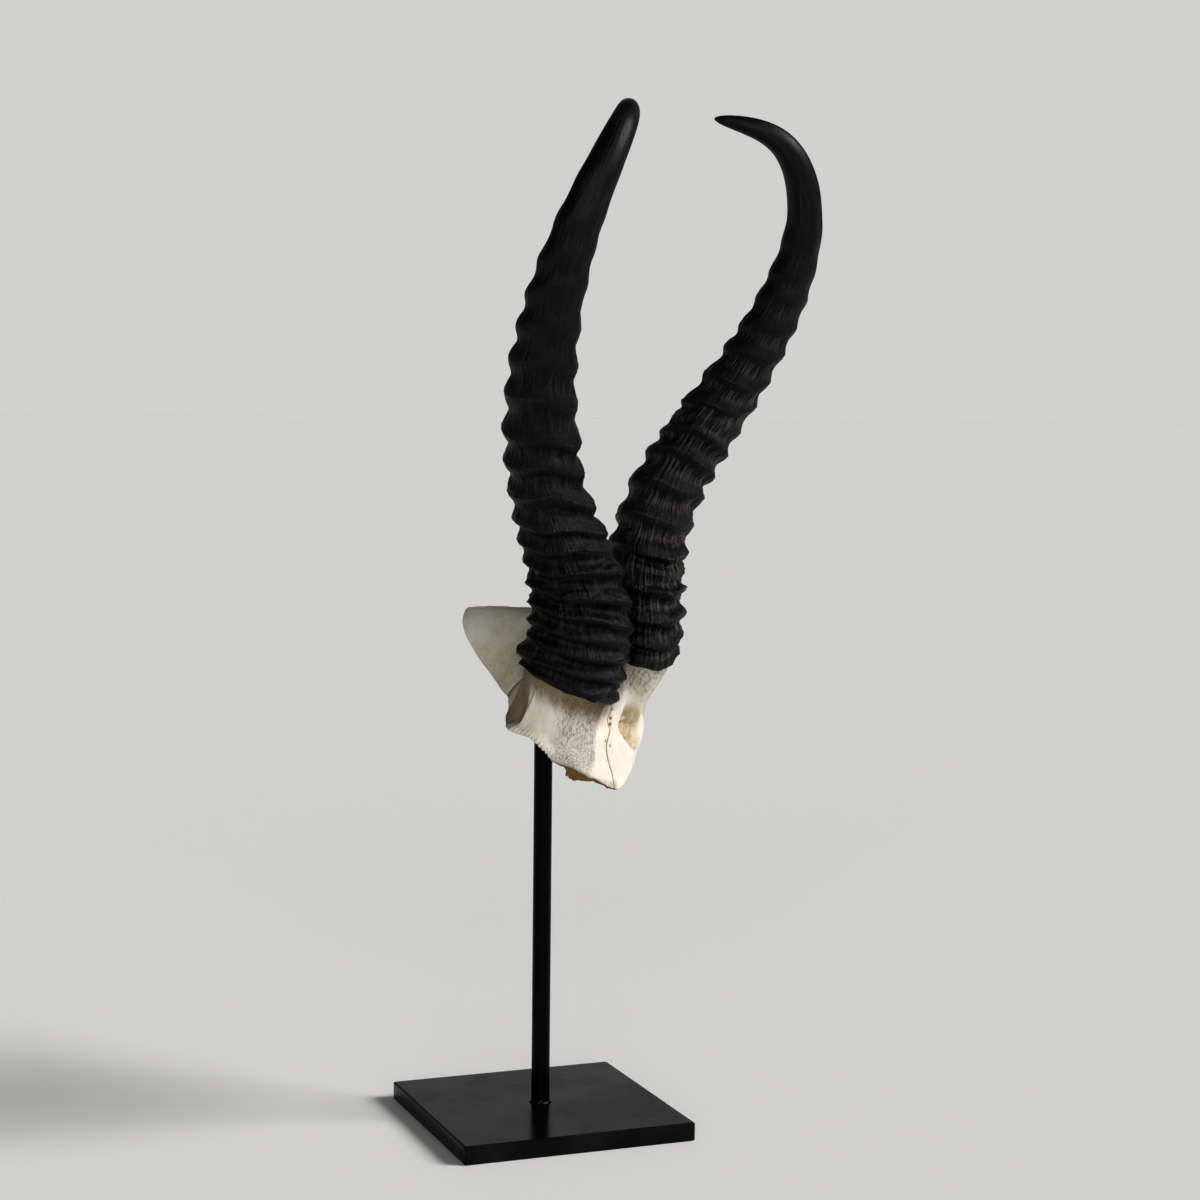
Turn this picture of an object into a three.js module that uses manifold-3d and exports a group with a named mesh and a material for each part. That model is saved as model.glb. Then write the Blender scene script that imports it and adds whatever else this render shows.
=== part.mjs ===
// A pair of antelope horns on their sawn-off skull cap, held up by a steel rod on a square plate.
// Millimetres, +Z up. The origin is the middle of the plate's underside and the plate's sides are
// square to X and Y.
import * as THREE from 'three';
import { mergeVertices } from 'three/addons/utils/BufferGeometryUtils.js';
import Module from 'manifold-3d';

const wasm = await Module();
wasm.setup();

// Stand: stock flat bar and round bar.
const plateSide = 130;
const plateThickness = 10;
const plateEdge = 0.8;
const rodDiameter = 10;
const socketDepth = 2.5;
const gap = 0.3;

// The skull faces this far round from the plate's front edge, towards +X.
const headTurn = 26.5 * Math.PI / 180;

// Horns, for the animal's left one: x is outwards, y is backwards, z is up from the table.
const hornRoute = [
  [26.5, -42, 251], [26.5, -48.5, 271], [30, -47, 307], [44, -46.5, 344], [64.5, -57.5, 382],
  [81, -75, 418.5], [88.5, -94, 458], [83, -109, 497.5], [61, -108.5, 531.3], [35, -86.5, 542.3],
];

// The front inner face of a horn looks this far in from straight ahead.
const frontInwards = 42 * Math.PI / 180;

// Half-widths of a horn at fractions of its length: across its front inner face, then side to side.
const hornGirth = [
  [0, 24.5, 20.5], [0.04, 26.6, 22], [0.09, 27, 22.4], [0.18, 24.6, 21.8], [0.29, 20.6, 19.6],
  [0.4, 18.2, 17.5], [0.52, 16, 14.8], [0.65, 13, 12.2], [0.76, 10.1, 9.6], [0.86, 7.8, 7.7],
  [0.93, 5.8, 5.5], [0.975, 3.7, 3.5], [1, 1.2, 1.2],
];

// The lower part of a horn is slightly hollowed along its back and flattened on its outer side.
const hollowBack = [[0, 0], [0.06, 1.5], [0.14, 2.5], [0.22, 1.5], [0.3, 0], [1, 0]];
const flatOuter = 2.2;
const flatMiddle = 0.1;
const flatReach = 0.09;

const ringCount = 16;
const firstRing = 0.006;
const ringSpacing = 0.0321;
const ringSpacingGrowth = 0.00112;
const ringHeight = 4.2;
const ringShare = 0.55;
const ringShareFront = 0.3;
const ringFade = [[0, 1], [0.18, 1], [0.9, 0], [1, 0]];
const crestLevel = 0.6;
const valleyLevel = -0.4;
const hornSegments = 16;
const rowsPerRing = 4;
const tipRows = 12;
const shortestRow = 0.004;

// The rim of each sheath, which isn't level: degrees round from the front inner side, outwards
// positive, and how far up the horn the rim stands there. The slant dies away up to leanEnds.
const rightHorn = {
  side: -1,
  trim: 0,
  rim: [
    [-180, 0], [-140, 1], [-100, -0.5], [-60, -2.3], [-20, -5.5], [0, -8], [20, -5.5], [40, -3.5],
    [60, -2.3], [100, -0.5], [140, 1], [160, 1.5], [180, 0],
  ],
};
const leftHorn = {
  side: 1,
  trim: 0.043,
  rim: [
    [-180, 1], [-90, -2], [-20, -5], [0, -5.5], [20, -6], [40, -3], [60, 2.9], [80, 1.4], [120, 1],
    [180, 1],
  ],
};
const leanEnds = 0.45;

// Skull cap, laid out on its saw cut: along the cut from the forehead's lowest point to the back,
// with the cut itself leaning back by sawTilt.
const sawTilt = 40.4 * Math.PI / 180;
const sawStart = { y: -54, z: 190 };
const capLength = 140;

// Height of the bone over the cut along its middle, and half-width and edge lift along its side.
const crown = [
  [0, 0], [16, 13], [33, 32], [44, 43], [54, 49], [66, 51.5], [80, 48.5], [93, 41], [107, 30],
  [120, 18.5], [131, 8.5], [140, 0],
];
const plan = [
  [0, 0], [2, 6.5], [6, 13], [12, 21], [20, 29.5], [28, 37], [37, 43], [46, 46.5], [54, 43],
  [62, 35], [71, 30.5], [90, 28.5], [110, 26], [125, 21], [134, 14], [138.5, 7], [140, 0],
];
const edgeLift = [
  [0, 0], [20, 1.5], [28, 7.5], [36, 9.5], [44, 5.5], [50, 3], [62, 3], [80, 1.5], [100, 0.5], [140, 0],
];

// The hollow that held the brain, open at the cut.
const hollowRoof = [
  [26, 0], [34, 12], [44, 22], [56, 30], [70, 35], [82, 36.5], [94, 34], [107, 25], [119, 13], [129, 0],
];
const hollowPlan = [
  [26, 0], [29, 14], [36, 24], [48, 28], [60, 26], [72, 24.5], [90, 23], [108, 20.5], [120, 15.5],
  [127, 8], [129, 0],
];
const hollowDrop = 12;

const capAlong = 26;
const capAround = 28;
const archPower = 0.9;
const rodSegments = 32;
const rodTopSteps = 200;

const steel = new THREE.MeshStandardMaterial({ color: 0x151515, roughness: 0.45, metalness: 0.1 });
const horn = new THREE.MeshStandardMaterial({ color: 0x1b1816, roughness: 0.6, metalness: 0 });
const bone = new THREE.MeshStandardMaterial({ color: 0xe4dac2, roughness: 0.7, metalness: 0 });

// Value of an outline at x, on straight stretches between its points.
function along(outline, x, column = 1) {
  const next = Math.max(1, outline.findIndex((point) => point[0] >= x));
  const [a, b] = [outline[next - 1], outline[next]];
  const t = THREE.MathUtils.clamp((x - a[0]) / (b[0] - a[0]), 0, 1);
  return THREE.MathUtils.lerp(a[column], b[column], t);
}

// Ring number at a fraction of the horn's length; whole numbers are crests.
function ringPhase(fraction) {
  const past = Math.max(fraction - firstRing, 0);
  const root = Math.sqrt(ringSpacing * ringSpacing + 4 * ringSpacingGrowth * past);
  return (root - ringSpacing) / (2 * ringSpacingGrowth);
}

function ringPlace(phase) {
  return firstRing + ringSpacing * phase + ringSpacingGrowth * phase * phase;
}

// Fractions of the length where the horn has a row of points: a few for each ring, then the tip's.
function hornRows(trim) {
  const rows = [trim];
  const rings = ringCount * rowsPerRing;
  for (let i = 0; i <= rings; i += 1) {
    const place = ringPlace(i / rowsPerRing);
    if (place > trim + shortestRow) {
      rows.push(place);
    }
  }
  const last = rows[rows.length - 1];
  for (let i = 1; i <= tipRows; i += 1) {
    rows.push(THREE.MathUtils.lerp(last, 1, Math.sin((i / tipRows) * Math.PI / 2)));
  }
  return rows;
}

// Distance that the rings add to the horn's surface, most on its front inner side.
function ringRipple(fraction, frontness) {
  const phase = ringPhase(fraction);
  const started = THREE.MathUtils.clamp(ringCount - phase, 0, 1);
  const wave = (1 + Math.cos(2 * Math.PI * phase)) / 2;
  const share = (ringShare + ringShareFront * frontness) * along(ringFade, fraction);
  const height = ringHeight * share * started;
  return height * THREE.MathUtils.lerp(valleyLevel, crestLevel, wave);
}

// One sheath: an upright cylinder's rows of points are carried along the route, square to it, with
// the ring ripple added to their distance from it and the lowest rows slanted to the rim's shape.
// A grown copy, larger by `extra` all over, cuts the seat for it in the bone.
function hornGeometry({ side, trim, rim }, extra = 0) {
  const stations = hornRoute.map((place) => new THREE.Vector3(...place));
  const route = new THREE.CatmullRomCurve3(stations, false, 'centripetal');
  const rows = hornRows(trim);
  const geometry = new THREE.CylinderGeometry(1, 1, rows.length - 1, hornSegments, rows.length - 1);
  const position = geometry.attributes.position;
  const inwards = new THREE.Vector3(-Math.sin(frontInwards), -Math.cos(frontInwards), 0);
  const point = new THREE.Vector3();
  for (let i = 0; i < position.count; i += 1) {
    point.fromBufferAttribute(position, i);
    const row = Math.round(point.y + (rows.length - 1) / 2);
    const u = rows[row];
    const centre = route.getPointAt(u);
    const tangent = route.getTangentAt(u);
    const across = inwards.clone().addScaledVector(tangent, -inwards.dot(tangent)).normalize();
    const outwards = tangent.clone().cross(across);
    const outer = -point.z;
    const added = ringRipple(u, point.x) + extra - along(hollowBack, u) * (1 - point.x) / 2;
    const flat = flatOuter * Math.max(0, outer) * Math.exp(-(((u - flatMiddle) / flatReach) ** 2));
    const a = (along(hornGirth, u, 1) + added) * point.x;
    const b = (along(hornGirth, u, 2) + added - flat) * outer;
    const degrees = THREE.MathUtils.radToDeg(Math.atan2(outer, point.x));
    const lean = along(rim, degrees) * Math.max(0, 1 - u / leanEnds) - (row === 0 ? extra : 0);
    centre.addScaledVector(across, a).addScaledVector(outwards, b).addScaledVector(tangent, lean);
    position.setXYZ(i, side * centre.x, centre.y, centre.z);
  }
  if (side > 0) {
    return geometry;
  }
  return turnedOut(geometry);
}

// A mirrored shape has its faces turned round again.
function turnedOut(geometry) {
  const index = geometry.index;
  for (let i = 0; i < index.count; i += 3) {
    const second = index.getX(i + 1);
    index.setX(i + 1, index.getX(i + 2));
    index.setX(i + 2, second);
  }
  return geometry;
}

// Point of the head at `across` from the middle, `back` along the saw cut and `over` above it.
function fromCut(across, back, over) {
  return new THREE.Vector3(
    across,
    sawStart.y + back * Math.cos(sawTilt) - over * Math.sin(sawTilt),
    sawStart.z + back * Math.sin(sawTilt) + over * Math.cos(sawTilt),
  );
}

// A closed dome on the cut: a sphere with its poles at the two ends, its upper half raised to the
// roof outline and its lower half pressed flat to the level that `under` gives.
function dome(outline, roof, under, lift) {
  const first = outline[0][0];
  const last = outline[outline.length - 1][0];
  const geometry = new THREE.SphereGeometry(1, capAround, capAlong);
  const position = geometry.attributes.position;
  const ball = new THREE.Vector3();
  for (let i = 0; i < position.count; i += 1) {
    ball.fromBufferAttribute(position, i);
    const back = THREE.MathUtils.mapLinear(ball.y, -1, 1, first, last);
    const ringRadius = Math.hypot(ball.x, ball.z);
    const pole = ringRadius < 1e-6;
    const across = pole ? 0 : ball.x / ringRadius;
    const up = pole ? 0 : ball.z / ringRadius;
    const floor = along(lift, back);
    const rise = Math.max(along(roof, back) - floor, 0);
    const over = up > 0 ? floor + rise * up ** archPower : floor + under * up;
    const place = fromCut(across * along(outline, back), back, pole ? floor : over);
    position.setXYZ(i, place.x, place.y, place.z);
  }
  return geometry;
}

function toSolid(geometry) {
  geometry.deleteAttribute('normal');
  geometry.deleteAttribute('uv');
  const merged = mergeVertices(geometry, 1e-4);
  return new wasm.Manifold(new wasm.Mesh({
    numProp: 3,
    vertProperties: new Float32Array(merged.attributes.position.array),
    triVerts: new Uint32Array(merged.index.array),
  }));
}

function toGeometry(solid) {
  const mesh = solid.getMesh();
  const geometry = new THREE.BufferGeometry();
  geometry.setAttribute('position', new THREE.BufferAttribute(mesh.vertProperties, 3));
  geometry.setIndex(new THREE.BufferAttribute(mesh.triVerts, 1));
  return geometry;
}

// The rod stands on the plate and ends a little way inside the bone over the hollow.
function rodTop() {
  for (let i = 0; i <= rodTopSteps; i += 1) {
    const z = THREE.MathUtils.mapLinear(i, 0, rodTopSteps, sawStart.z, sawStart.z + capLength);
    const back = -sawStart.y * Math.cos(sawTilt) + (z - sawStart.z) * Math.sin(sawTilt);
    const over = sawStart.y * Math.sin(sawTilt) + (z - sawStart.z) * Math.cos(sawTilt);
    if (over > along(hollowRoof, back)) {
      return z + socketDepth;
    }
  }
  return sawStart.z + capLength;
}

function rodGeometry(bottom, top, radius) {
  const geometry = new THREE.CylinderGeometry(radius, radius, top - bottom, rodSegments);
  geometry.rotateX(Math.PI / 2);
  geometry.translate(0, 0, (top + bottom) / 2);
  return geometry;
}

function skullCapGeometry() {
  const flat = [[0, 0], [capLength, 0]];
  const outside = toSolid(dome(plan, crown, 0, edgeLift));
  const hollow = toSolid(dome(hollowPlan, hollowRoof, hollowDrop, flat));
  const seats = [rightHorn, leftHorn].map((sheath) => toSolid(hornGeometry(sheath, gap)));
  const socket = toSolid(rodGeometry(sawStart.z, rodTop() + gap, rodDiameter / 2 + gap));
  const cap = outside.subtract(hollow).subtract(seats[0]).subtract(seats[1]).subtract(socket);
  return toGeometry(cap);
}

function plateGeometry() {
  const half = plateSide / 2 - plateEdge;
  const outline = new THREE.Shape();
  outline.moveTo(-half, -half);
  outline.lineTo(half, -half);
  outline.lineTo(half, half);
  outline.lineTo(-half, half);
  outline.closePath();
  const geometry = new THREE.ExtrudeGeometry(outline, {
    depth: plateThickness - 2 * plateEdge,
    bevelEnabled: true,
    bevelSize: plateEdge,
    bevelThickness: plateEdge,
    bevelSegments: 2,
  });
  geometry.translate(0, 0, plateEdge);
  return geometry;
}

function named(name, geometry, material) {
  const mesh = new THREE.Mesh(geometry, material);
  mesh.name = name;
  return mesh;
}

const head = new THREE.Group();
head.rotation.z = headTurn;
head.add(named('skull_cap', skullCapGeometry(), bone));
head.add(named('horn_right', hornGeometry(rightHorn), horn));
head.add(named('horn_left', hornGeometry(leftHorn), horn));

const object = new THREE.Group();
object.add(named('base_plate', plateGeometry(), steel));
object.add(named('post', rodGeometry(plateThickness + gap, rodTop(), rodDiameter / 2), steel));
object.add(head);

export default object;
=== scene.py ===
import bpy
import numpy as np
from mathutils import Matrix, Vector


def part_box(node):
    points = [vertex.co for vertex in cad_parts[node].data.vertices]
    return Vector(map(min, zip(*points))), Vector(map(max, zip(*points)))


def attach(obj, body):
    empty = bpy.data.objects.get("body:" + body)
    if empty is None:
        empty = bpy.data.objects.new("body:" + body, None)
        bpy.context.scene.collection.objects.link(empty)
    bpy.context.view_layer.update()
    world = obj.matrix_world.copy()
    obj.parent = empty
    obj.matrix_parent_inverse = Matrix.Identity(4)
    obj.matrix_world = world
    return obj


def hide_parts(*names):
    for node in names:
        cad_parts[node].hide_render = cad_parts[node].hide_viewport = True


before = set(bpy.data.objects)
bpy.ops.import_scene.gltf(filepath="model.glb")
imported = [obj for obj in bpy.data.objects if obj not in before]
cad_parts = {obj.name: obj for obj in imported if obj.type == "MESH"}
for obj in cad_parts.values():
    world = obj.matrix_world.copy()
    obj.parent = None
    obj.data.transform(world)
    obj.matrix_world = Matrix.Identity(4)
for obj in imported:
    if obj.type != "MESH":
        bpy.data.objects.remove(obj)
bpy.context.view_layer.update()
scene = bpy.context.scene
mm = 0.001
tiny, huge = 1e-9, 1e9
print("stage 1: frame loaded")


def throughPoints(table, x, column=1):
    # smooth line through the table's points that never overshoots: cubic pieces, the slope at a point
    # being the weighted harmonic mean of the straight slopes on either side of it
    table = np.asarray(table, float)
    across, values = table[:, 0], table[:, column]
    step = np.diff(across)
    rise = np.diff(values) / step
    slope = np.zeros_like(values)
    slope[0], slope[-1] = rise[0], rise[-1]
    before, after = 2 * step[1:] + step[:-1], step[1:] + 2 * step[:-1]
    safe = np.where(np.abs(rise) < tiny, tiny, rise)
    mean = (before + after) / (before / safe[:-1] + after / safe[1:])
    slope[1:-1] = np.where(rise[:-1] * rise[1:] > 0, mean, 0)
    k = np.clip(np.searchsorted(across, x) - 1, 0, len(across) - 2)
    t = np.clip((x - across[k]) / step[k], 0, 1)
    return (values[k] * (1 + 2 * t) * (1 - t) ** 2 + values[k + 1] * t * t * (3 - 2 * t)
            + step[k] * (slope[k] * t * (1 - t) ** 2 - slope[k + 1] * t * t * (1 - t)))


def throughRoute(route, count):
    # natural cubic spline by chord length: its second derivatives come from one small linear system
    route = np.asarray(route, float)
    t = np.r_[0, np.cumsum(np.linalg.norm(np.diff(route, axis=0), axis=1))]
    gap = np.diff(t)[:, None]
    inner = np.arange(1, len(t) - 1)
    system = np.eye(len(t))
    system[inner, inner - 1] = gap[:-1, 0]
    system[inner, inner] = 2 * (gap[:-1, 0] + gap[1:, 0])
    system[inner, inner + 1] = gap[1:, 0]
    turn = np.zeros((len(t), 3))
    turn[1:-1] = 6 * np.diff(np.diff(route, axis=0) / gap, axis=0)
    bend = np.linalg.solve(system, turn)
    x = np.linspace(0, t[-1], count)
    k = np.clip(np.searchsorted(t, x) - 1, 0, len(t) - 2)
    a = ((t[k + 1] - x) / gap[k, 0])[:, None]
    b = 1 - a
    curve = (a ** 3 - a) * bend[k] + (b ** 3 - b) * bend[k + 1]
    return a * route[k] + b * route[k + 1] + curve * gap[k] ** 2 / 6


def ease(x, low, high):
    # 0 below low, 1 above high, and the cubic 3t^2 - 2t^3 between
    t = np.clip((x - low) / (high - low), 0, 1)
    return t * t * (3 - 2 * t)


def bell(x, width):
    # rounded bump of height 1: exp(-(x / width)^2)
    return np.exp(-(x / width) ** 2)


def lumps(place, size, seed):
    # numbers from -1 to 1 drawn on a cubic grid of that size, blended smoothly between the eight corners
    drawn = np.random.default_rng(seed).uniform(-1, 1, (32, 32, 32))
    spot = place / np.asarray(size, float)
    cell = np.floor(spot).astype(int)
    t = ease(spot - cell, 0, 1)
    total = 0
    for corner in np.ndindex(2, 2, 2):
        share = np.prod(np.where(np.array(corner) == 1, t, 1 - t), axis=-1)
        i, j, k = np.moveaxis((cell + corner) % 32, -1, 0)
        total = total + share * drawn[i, j, k]
    return total


def surfaceNormals(grid):
    # cross product of the two directions along the grid, as long as 1
    normals = np.cross(np.gradient(grid, axis=1), np.gradient(grid, axis=0))
    return normals / np.maximum(np.linalg.norm(normals, axis=-1, keepdims=True), tiny)


def distanceToLine(place, line):
    # distance from every place to the nearest stretch of a broken line
    line = np.asarray(line, float)
    best = np.full(place.shape[:-1], huge)
    for a, b in zip(line[:-1], line[1:]):
        t = np.clip(((place - a) @ (b - a)) / ((b - a) @ (b - a)), 0, 1)
        best = np.minimum(best, np.linalg.norm(place - a - t[..., None] * (b - a), axis=-1))
    return best


def depthInside(place, outline):
    # distance in from a closed outline, 0 outside it: a place is inside if a line from it crosses an odd
    # number of sides
    outline = np.asarray(outline + outline[:1], float)
    crossed = np.zeros(place.shape[:-1], bool)
    x, y = place[..., 0], place[..., 1]
    for a, b in zip(outline[:-1], outline[1:]):
        if a[1] != b[1]:
            reaches = a[0] + (y - a[1]) * (b[0] - a[0]) / (b[1] - a[1])
            crossed ^= ((a[1] > y) != (b[1] > y)) & (x < reaches)
    return np.where(crossed, distanceToLine(place, outline), 0)


def gridSquares(rows, columns, closed, first=0):
    # corner numbers of every square of a grid, joined round where it is closed
    r = np.arange(rows - 1)[:, None]
    c = np.arange(columns if closed else columns - 1)[None]
    n = (c + 1) % columns
    squares = [r * columns + c, r * columns + n, (r + 1) * columns + n, (r + 1) * columns + c]
    return np.stack(squares, -1).reshape(-1, 4) + first


def closedGrid(grid, bottom, top):
    # a grid joined round, its first and last rows closed by fans to one point each
    rows, columns = grid.shape[:2]
    points = np.concatenate([grid.reshape(-1, 3), [bottom], [top]])
    c = np.arange(columns)
    n = (c + 1) % columns
    last = (rows - 1) * columns
    under = np.stack([n, c, np.full(columns, rows * columns)], -1)
    over = np.stack([last + c, last + n, np.full(columns, rows * columns + 1)], -1)
    return points, gridSquares(rows, columns, True), np.concatenate([under, over])


def unit(v):
    # in the same direction, as long as 1
    return v / np.linalg.norm(v, axis=-1, keepdims=True)


def placed(name, data, columns=None):
    # an object put into the scene; its three axes and its place are the columns of its matrix
    item = bpy.data.objects.new(name, data)
    if columns is not None:
        item.matrix_world = Matrix(np.vstack([np.column_stack(columns), [0, 0, 0, 1]]).tolist())
    scene.collection.objects.link(item)
    return item


def makePiece(name, paint, points, squares, triangles, values):
    # points in millimetres, already in the frame; the faces are turned over if their volume, the sum of
    # a . (b x c) over them all, comes out negative
    a, b, c, d = (points[squares[:, i]] for i in range(4))
    e, f, g = (points[triangles[:, i]] for i in range(3))
    corners = ((a, np.cross(b, c)), (a, np.cross(c, d)), (e, np.cross(f, g)))
    volume = sum(np.einsum("ij,ij->", *pair) for pair in corners)
    if volume < 0:
        squares, triangles = squares[:, ::-1], triangles[:, ::-1]
    mesh = bpy.data.meshes.new(name)
    mesh.from_pydata((points * mm).tolist(), [], squares.tolist() + triangles.tolist())
    mesh.polygons.foreach_set("use_smooth", np.ones(len(mesh.polygons), bool))
    for key, value in values.items():
        flat = value.ndim == 1
        attribute = mesh.attributes.new(key, "FLOAT" if flat else "FLOAT_VECTOR", "POINT")
        attribute.data.foreach_set("value" if flat else "vector", value.astype(np.float32).ravel())
    mesh.materials.append(paint)
    mesh.update()
    return placed(name, mesh)


# nodes are added to this tree until the next material, or the world, is begun
drawing = {}


def newPaint(name, specular):
    # a material with its one shader
    paint = bpy.data.materials.new(name)
    paint.use_nodes = True
    drawing["tree"] = paint.node_tree
    shader = paint.node_tree.nodes["Principled BSDF"]
    shader.inputs["Specular IOR Level"].default_value = specular
    return paint, shader


def addNode(kind, inputs=None, **settings):
    # one node, its settings and its inputs: a number or colour is set, another node's socket is linked
    tree = drawing["tree"]
    node = tree.nodes.new(kind)
    for key, value in settings.items():
        setattr(node, key, value)
    for key, value in (inputs or {}).items():
        if isinstance(value, bpy.types.NodeSocket):
            tree.links.new(value, node.inputs[key])
        else:
            node.inputs[key].default_value = value
    return node


def sums(operation, a, b=0.0):
    # a and b put together by one operation
    return addNode("ShaderNodeMath", {0: a, 1: b}, operation=operation).outputs[0]


def times(first, *others):
    # all of them multiplied
    for other in others:
        first = sums("MULTIPLY", first, other)
    return first


def spread(value, low, high, newLow=0.0, newHigh=1.0):
    # value between low and high carried smoothly to between newLow and newHigh
    limits = {"Value": value, "From Min": low, "From Max": high, "To Min": newLow, "To Max": newHigh}
    return addNode("ShaderNodeMapRange", limits, interpolation_type="SMOOTHSTEP").outputs["Result"]


def blendColour(share, a, b):
    # colour a where share is 0, b where it is 1
    return addNode("ShaderNodeMix", {0: share, 6: a, 7: b}, data_type="RGBA").outputs[2]


def layered(look, colour, *layers):
    # the look's colours laid over one another in turn, each by its share
    for share, name in layers:
        colour = blendColour(share, colour, look[name])
    return colour


def inCells(place, size, turn=(0, 0, 0)):
    # place divided by size, so that one cell or grain is 1 across
    scale = tuple(1 / s for s in size)
    inputs = {"Vector": place, "Rotation": turn, "Scale": scale}
    return addNode("ShaderNodeMapping", inputs).outputs["Vector"]


def grain(place, size, detail=3.0, roughness=0.55, turn=(0, 0, 0)):
    # noise whose grains have about that size, in the units of place
    cells = inCells(place, size, turn)
    inputs = {"Vector": cells, "Scale": 1.0, "Detail": detail, "Roughness": roughness}
    return addNode("ShaderNodeTexNoise", inputs).outputs["Fac"]


def stored(name, socket="Fac"):
    # a number, or a place, kept with the piece's own points
    return addNode("ShaderNodeAttribute", attribute_name=name).outputs[socket]


def bumps(height, strength, distance, under=None):
    # the normal tilted as if the surface rose by height times distance, over the bumps under it
    inputs = {"Height": height, "Strength": strength, "Distance": distance}
    if under is not None:
        inputs["Normal"] = under
    return addNode("ShaderNodeBump", inputs).outputs["Normal"]


def dress(shader, colour, roughness, normal):
    # the shader's three inputs linked
    for name, socket in (("Base Color", colour), ("Roughness", roughness), ("Normal", normal)):
        drawing["tree"].links.new(socket, shader.inputs[name])


# x is the animal's left, y is backwards, z is up from the table; the skull is turned round on its plate
head = dict(turn=np.radians(26.5))


def toFrame(place):
    # the head's axes turned about the rod by head's turn
    c, s = np.cos(head["turn"]), np.sin(head["turn"])
    return np.stack([place[..., 0] * c - place[..., 1] * s,
                     place[..., 0] * s + place[..., 1] * c, place[..., 2]], -1)


# four numbers in a row are the front inner side, the outer side, the back and the inner side of a horn
horn = dict(
    route=[(26.5, -42, 251), (26.5, -48.5, 271), (30, -47, 307), (44, -46.5, 344), (64.5, -57.5, 382),
           (81, -75, 418.5), (88.5, -94, 458), (83, -109, 497.5), (61, -108.5, 531.3),
           (35, -86.5, 542.3)],
    # fraction of the length, half-width across the front inner face, half-width the other way
    girth=[(0, 24.5, 20.5), (.04, 26.6, 22), (.09, 27, 22.4), (.18, 24.6, 21.8), (.29, 20.6, 19.6),
           (.4, 18.2, 17.5), (.52, 16, 14.8), (.65, 13, 12.2), (.76, 10.1, 9.6), (.86, 7.8, 7.7),
           (.93, 5.8, 5.5), (.975, 3.7, 3.5), (.993, 2.2, 2.1), (1, 1.0, 1.0)],
    # millimetres off the back, and off the front inner side
    hollowBack=[(0, 0), (.06, 1.5), (.14, 2.5), (.22, 1.5), (.3, 0), (1, 0)],
    hollowFront=[(0, 0), (.16, 0), (.23, 2.4), (.3, 2.8), (.35, 1.5), (.41, 0), (1, 0)],
    flatOuter=2.2,
    frontInwards=np.radians(42),  # the front inner face looks this far in from straight ahead
    # ring height from valley to crest
    ringHeight=[(0, 2.0, 1.6, 1.4, 1.8), (.03, 3.6, 2.8, 2.2, 3.0), (.12, 4.2, 3.2, 2.8, 3.6),
                (.2, 3.8, 3.1, 3.0, 3.4), (.3, 3.0, 3.0, 3.2, 3.1), (.4, 2.5, 2.8, 3.2, 2.9),
                (.52, 2.0, 2.2, 2.9, 2.4), (.62, 1.3, 1.5, 1.9, 1.6), (.72, .6, .7, .9, .8),
                (.8, .15, .2, .3, .2), (.88, 0, 0, 0, 0), (1, 0, 0, 0, 0)],
    # the tables below start with the fraction of the length; the second number is millimetres, or a share
    wander=[(0, 1.9), (.12, 1.5), (.35, 0.9), (.7, 0.6)],
    skewShare=[(0, 1), (.5, 1), (.75, 0.2)],
    lip=0.6, lipShare=[(0, 1), (.5, .8), (.68, 0)],
    folds=[(0, 1.9), (.1, 1.5), (.25, 0.6), (.42, 0)],
    grooves=[(0, .3), (.08, .42), (.2, .56), (.45, .46), (.65, .24), (.8, .08), (1, .02)],
    swells=0.45, swellShare=[(0, 1), (.5, .7), (.8, .3), (1, .1)],
    knobs=0.26, knobShare=[(0, 1), (.5, .5), (.9, 0)],
    rimNotches=0.7,
    # the rim turned under and up inside the sheath: millimetres inwards and up from the lowest row
    turned=[(7, 14), (5.5, 9), (3.4, 4), (2.4, 1), (1.5, -0.6), (0.6, -0.7)],
    fadeLean=0.45,  # the rim's slope has died away at this fraction of the length
    straightRadius=22,  # of the straight horn it unrolls into
    columns=232, ringRows=372, tipRows=44, ringedPart=0.76,
)
# the brown fibre share, after the seed: set low on the right horn as painted shade and high on the left
# as
# painted light; lobes of the rim: degrees round, how wide, millimetres up, and how far they stand out;
# skew:
# how far each crest leans upwards at the four sides
rightHorn = dict(
    side=-1, trim=0.0, seed=11, bareAndShade=0.35, lobes=[(180, 34, 8, 3.6), (4, 34, 4, 3.4)],
    skew=(1.25, 1.1, 1.1, 1.2),
    # degrees round from the front inner side, outwards positive, and millimetres the rim stands up there
    rim=[(-180, 0), (-140, 1), (-100, -.5), (-60, -2.3), (-20, -5.5), (0, -8), (20, -5.5), (40, -3.5),
         (60, -2.3), (100, -.5), (140, 1), (160, 1.5), (180, 0)],
    # millimetres up the horn to each crest
    crests=[(2.9, 1, 0, 1), (13.2, 9.7, 6, 9), (20.9, 18.3, 21, 21), (25.8, 26, 33, 29),
            (31.5, 34.6, 45, 39), (42.6, 43.8, 57, 51), (56.9, 58.5, 69, 64), (66, 74, 81, 73),
            (75, 88, 93, 80), (91, 109, 106.4, 91),
            (112.7, 128, 123.6, 112), (131.5, 145, 141.6, 131), (154.6, 167, 162.2, 152),
            (178.3, 187, 180.8, 174), (200, 205, 198.3, 194), (226.2, 224, 214.8, 218),
            (244, 240, 232.4, 236), (262, 257.2, 254.3, 258)],
    weak={3: (.2, 1, 1, .7), 7: (.15, .9, 1, .7)},  # crests that fade out on a side
)
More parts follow.
